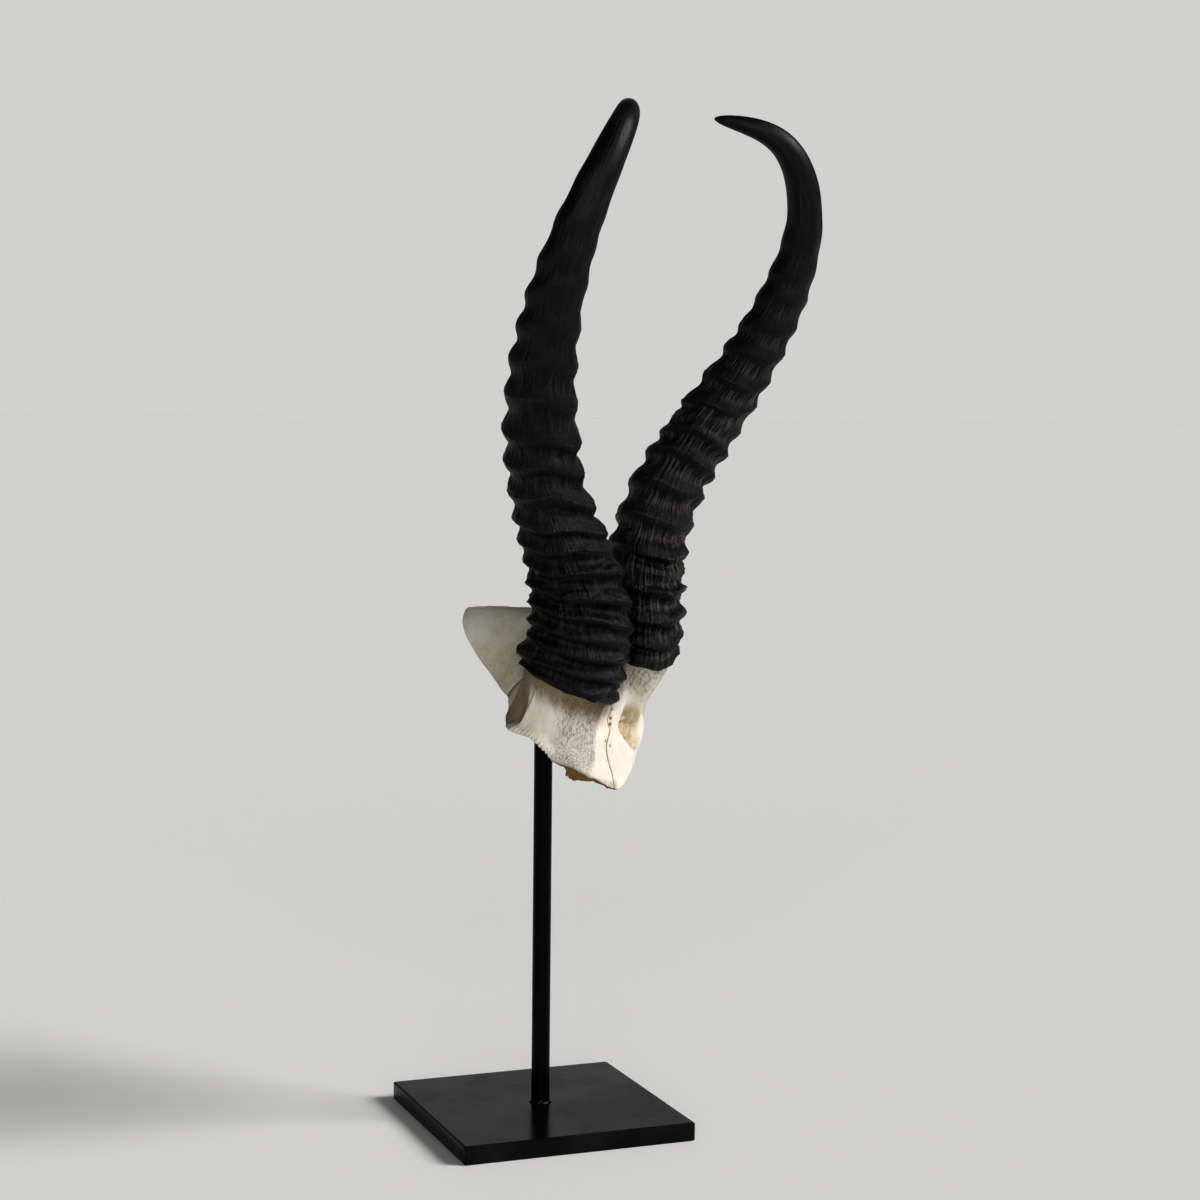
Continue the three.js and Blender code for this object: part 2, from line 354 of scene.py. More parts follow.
leftHorn = dict(
    side=1, trim=0.043, seed=23, bareAndShade=1.3, lobes=[], skew=(1.5, .9, 1.1, 1.7),
    rim=[(-180, 1), (-90, -2), (-20, -5), (0, -5.5), (20, -6), (40, -3), (60, 2.9), (80, 1.4), (120, 1),
         (180, 1)],
    crests=[(17, 16, 16, 16), (22.5, 21.5, 22, 22), (32, 32.5, 33, 31.5), (45, 44, 46, 49),
            (53, 55, 58, 58), (61, 65.5, 70, 67), (80.7, 85.3, 84, 80.3), (101.7, 105, 102, 98.7),
            (121, 119, 117, 115.7), (136, 134.7, 130, 127.5), (144, 150, 143, 136.5),
            (152.5, 166, 157, 146), (169, 181, 175, 166), (189, 197, 192, 185), (207.5, 211, 206, 200),
            (226.2, 226.4, 221, 218.4), (240, 242.2, 238, 235.6)],
    weak={0: (.5, .5, .5, .5), 4: (.15, .6, .5, .3), 10: (.15, .9, .5, .1)},
)


def aroundHorn(four, turn):
    # numbers given at the four sides, blended smoothly round between them
    four = np.asarray(four, float)
    quarter = turn / (np.pi / 2)
    side = np.floor(quarter).astype(int)
    t = ease(quarter - side, 0, 1)
    return four[..., side % 4] * (1 - t) + four[..., (side + 1) % 4] * t


def hornAxes(fractions):
    # centre, direction, and the two directions square to it, at fractions of the way along the horn
    dense = throughRoute(horn["route"], 3000)
    travelled = np.r_[0, np.cumsum(np.linalg.norm(np.diff(dense, axis=0), axis=1))]
    slope = np.gradient(dense, axis=0) / np.gradient(travelled)[:, None]
    at = fractions * travelled[-1]
    centre, along = (np.stack([np.interp(at, travelled, line[:, i]) for i in range(3)], -1)
                     for line in (dense, slope))
    along = unit(along)
    inwards = np.array([-np.sin(horn["frontInwards"]), -np.cos(horn["frontInwards"]), 0])
    across = unit(inwards - (along @ inwards)[:, None] * along)
    return centre, along, across, np.cross(along, across), travelled[-1]


def rimHeight(turn, sheath):
    # millimetres the rim stands up along the horn at that angle
    degrees = np.degrees((turn + np.pi) % (2 * np.pi) - np.pi)
    return throughPoints(sheath["rim"], degrees)


def ringCount(up, turn, sheath):
    # crests passed on the way up, counting part of one by how far it is from a crest to the next; and how
    # strong the rings are there
    crests = aroundHorn(sheath["crests"], turn)
    crests = np.concatenate([crests[:1] - 15, crests, crests[-1:] + 20, crests[-1:] + 42])
    strength = np.ones((len(crests), 4))
    for ring, sides in sheath["weak"].items():
        strength[ring + 1] = sides
    strength = aroundHorn(strength, turn)
    passed = sum(np.clip((up - low) / (high - low), 0, 1) for low, high in zip(crests[:-1], crests[1:]))
    below = np.clip(np.floor(passed).astype(int), 0, len(crests) - 2)
    column = np.arange(len(turn))[None]
    t = ease(passed - below, 0, 1)
    return passed - below, strength[below, column] * (1 - t) + strength[below + 1, column] * t


def hornSurface(sheath):
    # an oval carried along the route: each point stands off the middle by the girth plus the ring ripple,
    # and rows are shifted along the horn by the rim's shape, which dies away upwards
    ringed = np.linspace(sheath["trim"], horn["ringedPart"], horn["ringRows"])
    closing = np.sin(np.linspace(0, np.pi / 2, horn["tipRows"] + 1)[1:])  # rows crowd at the tip
    tip = horn["ringedPart"] + (1 - horn["ringedPart"]) * closing
    part = np.r_[ringed, tip]
    turn = np.linspace(0, 2 * np.pi, horn["columns"], endpoint=False)
    centre, along, across, beside, length = hornAxes(part)
    u, angle, seed = part[:, None], turn[None], sheath["seed"]
    cosine, sine = np.cos(angle), np.sin(angle)
    up = u * length
    fromRim = up - sheath["trim"] * length

    def upTable(name):
        # straight lines between the table's points, level beyond its ends
        return np.interp(u, *np.transpose(horn[name]))

    # the horn unrolled into a straight one, which the fibres and wear follow
    radius = horn["straightRadius"]
    straight = np.stack(np.broadcast_arrays(radius * cosine, radius * sine, up), -1)

    # the rings wander a little, most of all at the crumpled base
    wander = lumps(straight, (15, 15, 24), seed) * upTable("wander")
    between, strength = ringCount(up + wander, turn, sheath)
    skew = 1 + (aroundHorn(sheath["skew"], turn)[None] - 1) * upTable("skewShare")
    wave = (0.5 + 0.5 * np.cos(2 * np.pi * between ** skew)) ** 1.1
    height = np.stack([throughPoints(horn["ringHeight"], part, i) for i in (1, 2, 3, 4)], -1)
    height = aroundHorn(height, turn) * strength * (1 + 0.28 * lumps(straight, (15, 15, 9), seed + 2))
    ripple = height * (wave - 0.5)
    # each ring ends in a thin lip just over its crest, broken here and there
    lip = bell(between - 0.045, 0.035) + bell(between - 1.045, 0.035)
    unbroken = ease(lumps(straight, (9, 9, 30), seed + 12), -0.5, 0.15)
    lip = lip * unbroken * upTable("lipShare")
    ripple = ripple + horn["lip"] * lip
    # crumpled lesser folds, sharp-edged, between the lowest rings
    bent = straight + 3.5 * lumps(straight, (11, 11, 11), seed + 3)[..., None]
    folds = (1 - np.abs(lumps(bent, (19, 19, 4.6), seed + 4))) ** 3
    ripple = ripple + (folds - 0.45) * upTable("folds")
    # long grooves in the valleys, fading up the horn
    grooves = lumps(straight, (1.55, 1.55, 34), seed + 5)
    grooves = grooves + 0.5 * lumps(straight, (3.4, 3.4, 60), seed + 6)
    deep = upTable("grooves")
    ripple = ripple + grooves * deep * (1.2 - 0.85 * wave)
    swells = horn["swells"] * lumps(straight, (13, 13, 16), seed + 7)
    knobs = horn["knobs"] * lumps(straight, (2.2, 2.2, 2.6), seed + 8)
    ripple = ripple + swells * upTable("swellShare")
    ripple = ripple + knobs * upTable("knobShare")
    # torn lobes of the rim stand out on one horn
    lobe = 0 * up * angle
    for at, wide, rise, out in sheath["lobes"]:
        degreesOff = (np.degrees(angle) - at + 180) % 360 - 180
        lobe = lobe + out * bell(fromRim - rise, 7) * bell(degreesOff, wide)
    trimmed = throughPoints(horn["hollowBack"], part)[:, None] * (1 - cosine) / 2
    trimmed = trimmed + throughPoints(horn["hollowFront"], part)[:, None] * ((1 + cosine) / 2) ** 2
    flattened = horn["flatOuter"] * bell(u - 0.1, 0.09) * np.maximum(sine, 0)
    r1 = throughPoints(horn["girth"], part, 1)[:, None] + ripple + lobe - trimmed
    r2 = throughPoints(horn["girth"], part, 2)[:, None] + ripple + lobe - trimmed - flattened
    ring = straight * [1, 1, 0]
    ragged = lumps(ring, (7, 7, 7), seed + 9) + 0.6 * lumps(ring, (3, 3, 3), seed + 10)
    notches = horn["rimNotches"] * ragged * bell(fromRim, 4)
    lean = np.clip(1 - u / horn["fadeLean"], 0, 1) * rimHeight(turn, sheath) + notches
    grid = (centre[:, None] + (r1 * cosine)[..., None] * across[:, None]
            + (r2 * sine)[..., None] * beside[:, None] + lean[..., None] * along[:, None])

    turned = horn["turned"]
    outwards = unit(grid[0] - centre[0] - ((grid[0] - centre[0]) @ along[0])[:, None] * along[0])
    under = np.stack([grid[0] - inwards * outwards + rise * along[0] for inwards, rise in turned])
    nose = centre[-1] + 0.55 * (grid[-1:] - centre[-1]) + 0.55 * along[-1]
    grid = np.concatenate([under, grid, nose])
    points, squares, triangles = closedGrid(grid, grid[0].mean(0), centre[-1] + 0.8 * along[-1])
    points[:, 0] *= sheath["side"]

    def perPoint(value, low, high):
        # one number a point: low under the rim, value along the horn, high at the very tip
        rows = np.concatenate([np.repeat(value[:1] * 0 + low, len(turned), 0), value, value[-1:]])
        return np.r_[rows.ravel(), low, high]

    place = np.concatenate([np.repeat(straight[:1], len(turned), 0), straight, straight[-1:]])
    values = dict(straight=np.concatenate([place.reshape(-1, 3), straight[0, :1], straight[-1, :1]]),
                  relief=perPoint(wave * strength, 0.3, 0.5), lip=perPoint(lip, 0, 0),
                  groove=perPoint(grooves * ease(deep, 0, 0.3), 0, 0),
                  upHorn=perPoint(u + 0 * wave, 0, 1), bareAndShade=perPoint(sheath["bareAndShade"] + 0 * wave, 0, 0))
    return toFrame(points), squares, triangles, values


hornLook = dict(
    # the pale grey serves dust, scuffs and streaks, and also the painted highlight on the lips
    dark=(0.0022, 0.0020, 0.0022, 1), brown=(0.017, 0.0135, 0.012, 1), dustAndHighlight=(0.13, 0.127, 0.125, 1),
    specular=0.34, baseRoughness=0.4, tipRoughness=0.44,
    strandBump=0.0012, speckBump=0.0007, scratchBump=0.0003,  # metres
)


def hornPaint():
    # near black; brown fibres show in the valleys of the ringed part, a painted highlight lies on the
    # lips, and fine scuffs near the tip
    paint, shader = newPaint("hornBlack", hornLook["specular"])
    straight = stored("straight", "Vector")
    relief, up = stored("relief"), stored("upHorn")
    lip, groove = stored("lip"), stored("groove")
    fibres = grain(straight, (1.35, 1.35, 18), 2.0, 0.5)
    hairs = grain(straight, (0.5, 0.5, 5), 2.0, 0.6)
    patches = grain(straight, (15, 15, 15), 4.0, 0.6)
    specks = grain(straight, (1.0, 1.0, 1.0), 3.0, 0.7)
    scratches = grain(straight, (0.5, 0.5, 20), 3.0, 0.5, (0.08, 0.05, 0.0))
    ringed = spread(up, 0.4, 0.75, 1.0, 0.0)
    valley = spread(relief, 0.75, 0.1)
    # brown fibre share, lower on the right horn as painted shade and higher on the left as painted light
    bareAndShade = times(stored("bareAndShade"), valley, ringed)
    brown = times(spread(fibres, 0.5, 0.57), bareAndShade)
    onRidges = spread(groove, -0.4, 0.4, 0.35, 1.0)
    streaks = times(spread(fibres, 0.46, 0.6), bareAndShade, onRidges, 0.42)
    faded = times(spread(patches, 0.52, 0.72), 0.12)
    # painted highlight: pale grey on the ring lips, where the crests catch the light
    lipHighlight = times(spread(lip, 0.25, 0.9), spread(specks, 0.4, 0.65), 0.4)
    nearTip = spread(up, 0.55, 0.8)
    scuffs = times(spread(scratches, 0.60, 0.72), spread(patches, 0.4, 0.6), nearTip)
    dust = times(spread(specks, 0.66, 0.74), 0.35)
    colour = layered(hornLook, hornLook["dark"], (brown, "brown"), (streaks, "dustAndHighlight"), (faded, "brown"),
                     (lipHighlight, "dustAndHighlight"), (times(scuffs, 0.6), "dustAndHighlight"), (dust, "dustAndHighlight"))
    worn = spread(up, 0.45, 0.85, hornLook["baseRoughness"], hornLook["tipRoughness"])
    worn = sums("ADD", worn, spread(patches, 0.3, 0.7, -0.06, 0.08))
    worn = sums("ADD", worn, times(scuffs, 0.2))
    rough = spread(up, 0.35, 0.85, 1.0, 0.1)
    strands = sums("ADD", fibres, times(hairs, 0.5))
    normal = bumps(times(strands, rough), 0.9, hornLook["strandBump"])
    normal = bumps(times(specks, rough), 0.8, hornLook["speckBump"], normal)
    normal = bumps(scratches, 0.15, hornLook["scratchBump"], normal)
    dress(shader, colour, worn, normal)
    return paint


hornBlack = hornPaint()
pieces = {}
for sheath, node in ((rightHorn, "horn_right"), (leftHorn, "horn_left")):
    pieces[node] = makePiece(node + "_sheath", hornBlack, *hornSurface(sheath))
print("stage 2: horns")


# laid out on its saw cut: l to the animal's left, d back along the cut, h over the cut
skull = dict(
    sawTilt=np.radians(40.4), startY=-54.0, startZ=190.0, length=140.0,
    crown=[(0, 0), (16, 13), (33, 32), (44, 43), (54, 49), (66, 51.5), (80, 48.5), (93, 41), (107, 30),
           (120, 18.5), (131, 8.5), (140, 0)],
    plan=[(0, 0), (2, 6.5), (6, 13), (12, 21.4), (20, 30.8), (28, 38.8), (37, 44), (46, 46.5), (51, 45.2),
          (56, 42.4), (62, 36.5), (71, 30.5), (90, 28.5), (110, 26), (125, 21), (134, 14), (138.5, 7),
          (140, 0)],
    edge=[(0, 0), (20, 1.3), (28, 5.6), (36, 7.3), (44, 3.4), (50, 1.6), (62, 2.6), (80, 1.5), (100, .5),
          (140, 0)],
    # on the animal's right the outer table is broken off short and the spongy bone under it hangs lower
    broken=[(0, 0), (2, 1), (4, 1.8), (8, 2.5), (14, 2.7), (19, 1.7), (24, 0), (140, 0)],
    hanging=[(0, 0), (2, 1.1), (5, 1.7), (8, 2.2), (10, 3.9), (13, 6), (15.5, 5.8), (17, 2.8), (19, 0.8),
             (24, 0.5), (26, 0), (140, 0)],
    hollowRoof=[(26, 0), (34, 12), (44, 22), (56, 30), (70, 35), (82, 36.5), (94, 34), (107, 25),
                (119, 13), (129, 0)],
    hollowPlan=[(26, 0), (29, 14), (36, 24), (48, 28), (60, 26), (72, 24.5), (90, 23), (108, 20.5),
                (120, 15.5), (127, 8), (129, 0)],
    eyeVault=dict(at=(35, 34), size=(9, 16), roof=9.5, mostOfBone=0.34),
    sinusOfBone=0.6, spongy=0.9,
    rows=330, outerColumns=232, innerColumns=60,
)
marks = dict(
    # places on the skull as l, d; a groove or welt has its height and the width of its bell
    midline=[(0, 60), (-0.5, 45), (0.8, 39), (-0.7, 33), (-0.4, 29.5), (-2.2, 26.8), (-0.6, 23.7),
             (-2.9, 20.3), (-4.4, 17.5), (-4.2, 14.4), (-3.2, 10.3), (-2.0, 5.9), (-2.0, 0)],
    coronal=[(-31.5, 69), (-30.6, 71), (-30, 68), (-30.9, 66), (-29.5, 69), (-28, 72), (-27, 77),
             (-22, 80), (-16, 84), (-9, 82), (-4, 85), (0, 83), (5, 85), (10, 82), (17, 84), (23, 80),
             (27, 77), (28, 73), (30, 70), (31, 68)],
    temporal=[(8, 138), (12.5, 127), (18, 112.5), (21, 105), (23, 94), (25.5, 85), (28, 76)],
    browRidge=[(34, 47), (37.8, 45.2), (40.2, 44.4), (42.8, 43.2), (44.2, 43.2), (45.4, 44.6), (45.9, 47),
               (45.2, 50)],
    noseRidge=[(-2.5, 38), (-4.2, 32), (-6.6, 28), (-9.2, 24), (-11.8, 20), (-13.6, 16), (-16, 10.7),
               (-18.5, 6)],
    sutureGroove=(0.5, 0.6), coronalGroove=(0.5, 0.7), coronalWelt=(0.3, 1.6), temporalWelt=(0.5, 1.6),
    browWelt=(1.0, 1.5), noseWelt=(1.2, 1.9),
    pit=[(5.5, 24.5), (7, 27), (10, 29), (15, 29.8), (22, 30), (28, 30), (32, 28), (33.5, 24), (28, 19),
         (21.5, 16), (17, 16.5), (12, 19), (7.5, 21.8)],
    pitDepth=4.4, brimRight=4.2, brimLeft=1.0, fossaDepth=4.4,
    frillPitch=2.1, frillWander=0.9, frillGroove=(1.1, 3.0), frillWelt=(0.5, 3),
    # l, d and width of each small hole
    holes=[(0, 27.4, 0.9), (-.3, 25.3, 1.0), (-1.5, 24.8, 0.7), (-1.5, 17.9, 0.7), (.7, 30.6, 1.1),
           (34, 42, 1.3), (1.2, 35, 0.9), (-4.8, 19.8, 0.6)],
    holeDepth=0.9,
)


def fromCut(l, d, h):
    # the cut leans back by sawTilt from its lowest point at the forehead
    c, s = np.cos(skull["sawTilt"]), np.sin(skull["sawTilt"])
    return np.stack([l, skull["startY"] + d * c - h * s, skull["startZ"] + d * s + h * c], -1)


def outlineAt(name, d):
    # one of the skull's tables at d, 0 beyond its ends
    table = skull[name]
    return np.where((d > table[0][0]) & (d < table[-1][0]), throughPoints(table, d), 0)


def porousBone(l, d):
    # 1 where the forehead is rough with pores: beside the nose ridge and up under the left horn
    right = ease(l, -12, -16) * ease(l, -40, -30)
    right = right * ease(d, 8, 16) * ease(d, 54, 40)
    slope = ease(d + 0.55 * l, -6, 4)
    left = ease(l, 3, 7) * ease(d, 29, 33)
    return np.clip(right * slope + left, 0, 1)


def frillComb(l, d):
    # a cosine wave along the rim over the eye, 1 in the grooves
    wandered = d + marks["frillWander"] * lumps(np.stack([l, d, 0 * d], -1), (5, 5, 5), 44)
    return np.cos(2 * np.pi * wandered / marks["frillPitch"])


def markAt(name, away):
    # the mark's height times a bell of its width
    high, wide = marks[name]
    return high * bell(away, wide)


def skullRelief(l, d, h, over):
    # millimetres of height added square to the surface, one term for each mark on the bone
    flat, solid, both = np.stack([l, d], -1), np.stack([l, d, h], -1), np.stack([np.abs(l), d], -1)
    relief = 0.35 * lumps(solid, (11, 11, 11), 41) + 0.14 * lumps(solid, (4.5, 6, 4.5), 42)
    rough = porousBone(l, d)
    relief = relief + (0.03 + 0.09 * rough) * lumps(solid, (1.2, 2.0, 1.2), 43)
    midline, coronal = (distanceToLine(flat, marks[k]) for k in ("midline", "coronal"))
    relief = relief - markAt("sutureGroove", midline) * ease(d, 66, 50)
    relief = relief - markAt("coronalGroove", coronal) + markAt("coronalWelt", coronal - 2.2)
    relief = relief + markAt("temporalWelt", distanceToLine(both, marks["temporal"]))
    relief = relief + markAt("browWelt", distanceToLine(both, marks["browRidge"]))
    relief = relief + markAt("noseWelt", distanceToLine(flat, marks["noseRidge"]))
    relief = relief - 1.3 * bell(np.hypot((l + 22) / 9, (d - 26) / 15), 0.8)
    # the forehead is hollowed above the rim of the eye socket, which flares like a brim
    brim = ease(over, 0.3, 7) * ease(over, 26, 11)
    brim = brim * ease(d, 21, 30) * ease(d, 56, 47)
    relief = relief - brim * np.where(l < 0, marks["brimRight"], marks["brimLeft"])
    # hollow in front of the braincase, behind the rim of the eye socket
    fossa = np.hypot((np.abs(l) - 41) / 7.5, (d - 52) / 7)
    relief = relief - marks["fossaDepth"] * ease(fossa, 1.1, 0.45) * ease(over, 1, 8)
    # pit on the left of the forehead, undercut on the inner side and open on the outer, with thin bridges
    inside = depthInside(flat, marks["pit"])
    steep = np.interp(l, [4, 14, 22, 31], [0.8, 1.5, 5.0, 9.0])
    bridges = np.maximum(bell(d - 25.6 - 0.1 * l, 0.75), bell(d - 22.2 + 0.08 * l, 0.65))
    floor = (0.55 + 0.45 * ease(d, 16, 27)) * (0.4 + 0.6 * ease(l, 30, 17))
    gone = ease(inside / steep, 0, 1) * floor * (1 - 0.85 * bridges * ease(l, 20, 11))
    relief = relief - marks["pitDepth"] * gone * (1 - 0.12 * lumps(solid, (3, 3, 3), 45))
    # frilled rim over the eye: little grooves that run up from the edge
    rim = ease(d, 22, 26) * ease(d, 50, 45) * (np.abs(l) > 20)
    groove = ease(frillComb(l, d), 0.1, 0.9)
    relief = relief + rim * (markAt("frillWelt", over - 3) - groove * markAt("frillGroove", over))
    for x, y, size in marks["holes"]:
        relief = relief - marks["holeDepth"] * bell(np.hypot(l - x, d - y), 0.75 * size)
    return relief


def fromHorn(place, sheath):
    # the horn's direction at its rim; the way out to each place from its middle line, whole and split in
    # two; and the place's height over the rim: its distance along less the rim's height at its angle
    centre, along, across, beside, _ = hornAxes(np.array([sheath["trim"]]))
    away = place - centre[0]
    height = away @ along[0]
    outwards = away - height[..., None] * along[0]
    x, y = outwards @ across[0], outwards @ beside[0]
    return along[0], outwards, x, y, height - rimHeight(np.arctan2(y, x), sheath)


# oval: the stump's girth as a share of the sheath's, less taper for a millimetre down and sink for one up
stump = dict(oval=0.93, taper=0.0135, sink=0.02, thinnest=0.05, soft=2.5, mostPush=24, overRim=2)


def hornStumps(grid, over):
    # bone swells to meet each sheath: what is inside the horn's oval is lifted to just over its rim, then
    # pushed out to the oval, which tapers on down below the rim
    for sheath in (rightHorn, leftHorn):
        place = grid * [sheath["side"], 1, 1]
        along, outwards, x, y, below = fromHorn(place, sheath)
        wide, deep = (throughPoints(horn["girth"], np.array([sheath["trim"]]), i)[0] for i in (1, 2))
        share = np.sqrt((x / wide) ** 2 + (y / deep) ** 2)
        near = ease(below, -46, -24)
        lift = np.maximum(stump["overRim"] - below, 0) * ease(share, 1.02, 0.78)
        lift = lift * ease(over, 2, 9) * ease(below, -33, -18)
        place, below = place + lift[..., None] * along, below + lift
        down, rise = np.maximum(-below, 0), np.maximum(below, 0)
        oval = stump["oval"] - stump["taper"] * down - stump["sink"] * rise
        share = share / np.maximum(oval, stump["thinnest"])
        reach = np.sqrt(x * x + y * y)
        gap = reach * (1 / np.maximum(share, stump["thinnest"]) - 1)
        push = stump["soft"] * np.log1p(np.exp(np.clip(gap / stump["soft"], -30, 30)))
        push = np.minimum(push * near * ease(reach, 1, 5), stump["mostPush"])
        place = place + push[..., None] * outwards / np.maximum(reach, 1)[..., None]
        grid = place * [sheath["side"], 1, 1]
    return grid


def underside(l, d, fromEdge, height):
    # depth of the hollows over the cut, the deepest of the three at each place; negative where the bone
    # hangs below it; height is the bone's own height over that place
    solid = np.stack([l, d, 0 * l], -1)
    brainWide = np.maximum(outlineAt("hollowPlan", d), 0.1)
    brain = outlineAt("hollowRoof", d) * np.clip(1 - (l / brainWide) ** 2, 0, 1) ** 0.4
    dome = skull["eyeVault"]
    eye = np.hypot((np.abs(l) - dome["at"][0]) / dome["size"][0], (d - dome["at"][1]) / dome["size"][1])
    vault = np.minimum(dome["roof"] * np.sqrt(np.clip(1 - eye ** 2, 0, 1)), dome["mostOfBone"] * height)
    vault = vault * ease(fromEdge, 1, 7)
    cells = np.abs(lumps(solid, (4, 4, 4), 51)) + 0.6 * np.abs(lumps(solid, (1.8, 1.8, 1.8), 52))
    sinus = skull["sinusOfBone"] * height * ease(fromEdge, 1.5, 6)
    sinus = sinus * ease(d, 32, 22) * (0.7 + 0.25 * cells)
    spongy = -skull["spongy"] * cells * ease(fromEdge, 0.3, 2)
    hanging = throughPoints(skull["hanging"], d) * ease(fromEdge, 0, 1.0)
    hanging = hanging * ease(fromEdge, 7, 3) * (l < 0)
    return np.maximum(np.maximum(brain, vault), sinus) + spongy - hanging * (0.85 + 0.35 * cells)


def skullSurface():
    # outer face: over every line across the cut stands an arch, half-width from the plan and height from
    # the crown; inner face: the same lines again, raised into the hollows
    rows, columns = skull["rows"], skull["outerColumns"]
    q = np.linspace(0, 1, rows)
    d = skull["length"] * (0.5 * q + 0.25 * (1 - np.cos(np.pi * q)))
    d[0], d[-1] = 0.02, skull["length"] - 0.02
    tables = ("crown", "plan", "edge", "broken")
    crown, plan, edge, broken = (throughPoints(skull[k], d)[:, None] for k in tables)
    arch = np.linspace(-np.pi / 2, np.pi / 2, columns)[None]
    boxy = ease(d, 72, 100)[:, None]  # the braincase is boxier than the forehead
    l = plan * np.sign(arch) * np.abs(np.sin(arch)) ** (1 - 0.16 * boxy)
    edge = edge + broken * (arch < 0)
    h = edge + np.maximum(crown - edge, 0) * np.cos(arch) ** (0.9 - 0.12 * boxy)
    dd = np.broadcast_to(d[:, None], l.shape)
    over = h - edge
    outer = fromCut(l, dd, h)
    outer = hornStumps(outer + skullRelief(l, dd, h, over)[..., None] * surfaceNormals(outer), over)

    w = np.linspace(-1, 1, skull["innerColumns"])[None]
    w = np.sign(w) * (1 - (1 - np.abs(w)) ** 1.35)
    li, di = w * plan, np.broadcast_to(d[:, None], (rows, w.shape[1]))
    left, right = outer[:, :1], outer[:, -1:]
    base = left + (right - left) * ((w + 1) / 2)[..., None]
    low = edge[:, -1:]
    height = np.maximum(crown - low, 0) * np.clip(1 - w ** 2, 0, 1) ** 0.45
    upwards = fromCut(0, 0, 1) - fromCut(0, 0, 0)
    inner = base + underside(li, di, plan - np.abs(li), height)[..., None] * upwards
    return outer, inner[:, 1:-1], l, dd, over, di[:, 1:-1]


def stainsAndShadow(l, d, over, outer):
    # 0 clean bone to 1 dark brown: under the sheaths, where it is stain and a painted shadow of the horn,
    #                               most
    # under the right one; in the pit, behind the eye and on broken edges
    flat = np.stack([l, d], -1)
    fossa = np.hypot((np.abs(l) - 41) / 8, (d - 53) / 8.5)
    stainAndShadow = 0.44 * ease(fossa, 1.25, 0.5) + 0.3 * ease(d, 44, 56) * ease(d, 100, 66)
    stainAndShadow = stainAndShadow + 0.1 * ease(depthInside(flat, marks["pit"]), 0, 1.5) * ease(l, 36, 22)
    stainAndShadow = stainAndShadow + 0.3 * ease(over, 1.6, 0.3) * (l < 0) * ease(d, 26, 18)
    # under each sheath: tan stain and a painted shadow cast by the horn, far darker under the right horn
    for sheath, amount in ((rightHorn, 0.62), (leftHorn, 0.22)):
        _, outwards, _, _, below = fromHorn(outer * [sheath["side"], 1, 1], sheath)
        reach = np.linalg.norm(outwards, axis=-1)
        stainAndShadow = np.maximum(stainAndShadow, amount * ease(below, -20, -3) * ease(reach, 40, 24))
    return np.clip(stainAndShadow, 0, 1)


def skullCap():
    # the two faces joined along the cut edge, the first and last lines across closed by fans
    outer, inner, l, d, over, di = skullSurface()
    rows, columns = outer.shape[:2]
    inside, first = inner.shape[1], outer.shape[0] * outer.shape[1]
    points = np.concatenate([outer.reshape(-1, 3), inner.reshape(-1, 3)])
    o, i = columns * np.arange(rows), first + inside * np.arange(rows)  # where each row starts
    leftSeam = [o[:-1], o[1:], i[1:], i[:-1]]
    rightSeam = [o[1:] + columns - 1, o[:-1] + columns - 1, i[:-1] + inside - 1, i[1:] + inside - 1]
    squares = np.concatenate([
        gridSquares(rows, columns, False), gridSquares(rows, inside, False, first)[:, ::-1],
        np.stack(leftSeam, -1), np.stack(rightSeam, -1)])
    ends, middles = [], []
    for row, way in ((0, 1), (rows - 1, -1)):
        loop = np.r_[o[row] + np.arange(columns), i[row] + np.arange(inside)[::-1]]
        middle = np.full(len(loop), len(points) + len(middles))
        ends.append(np.stack([loop, np.roll(loop, -1), middle], -1)[:, ::way])
        middles.append(points[loop].mean(0))
    points = np.concatenate([points, middles])

    flat, both = np.stack([l, d], -1), np.stack([np.abs(l), d], -1)
    # olive tint and painted shade low on the braincase's sides, fading out at its top and back as painted
    # light
    oliveAndShade = 0.85 * ease(d, 62, 84) * ease(over, 48, 20) * ease(d, 128, 88)
    # thin dark lines: the seams and ridge lines, and painted shade in the frill's grooves and the small
    # holes
    seamAndShade = np.minimum(distanceToLine(flat, marks["midline"]) + 9 * ease(d, 44, 60),
                      distanceToLine(flat, marks["coronal"]))
    seamAndShade = np.minimum(seamAndShade, 0.35 + distanceToLine(both, marks["temporal"]))
    seamAndShade = np.minimum(seamAndShade, 0.15 + distanceToLine(both, marks["browRidge"]))
    # painted shade: a dark line in each groove of the frill
    frill = 0.14 + 1.3 * (1 - frillComb(l, d)) + ease(over, 1.2, 4.6) + (np.abs(l) < 20)
    seamAndShade = np.minimum(seamAndShade, frill + ease(d, 24, 20) + ease(d, 48, 52))
    # painted shade: a dark dot in each small hole
    for x, y, size in marks["holes"]:
        seamAndShade = np.minimum(seamAndShade, np.maximum(np.hypot(l - x, d - y) - 0.3 * size, 0))
    gold = ease(depthInside(flat, marks["pit"]), 0, 1.2) * ease(l, 31, 20)
    deep = 0.3 + 0.62 * ease(di, 30, 18)

    def perPoint(outside, within, ends):
        # one number a point: those outside, then one for the inner face and one for the ends
        return np.r_[outside.ravel(), np.full(rows * inside, within), ends, ends]

    far = 9.0  # no seam near
    values = dict(
        onBone=np.concatenate([np.stack([l, d, over], -1).reshape(-1, 3), inner.reshape(-1, 3), middles]),
        stainAndShadow=np.r_[stainsAndShadow(l, d, over, outer).ravel(), deep.ravel(), 0.5, 0.2],
        oliveAndShade=perPoint(oliveAndShade, 0.0, 0), gold=perPoint(gold, 0.0, 0),
        porous=perPoint(porousBone(l, d), 0.6, 0), seamAndShade=perPoint(seamAndShade, far, far))
    return toFrame(points), squares, np.concatenate(ends), values


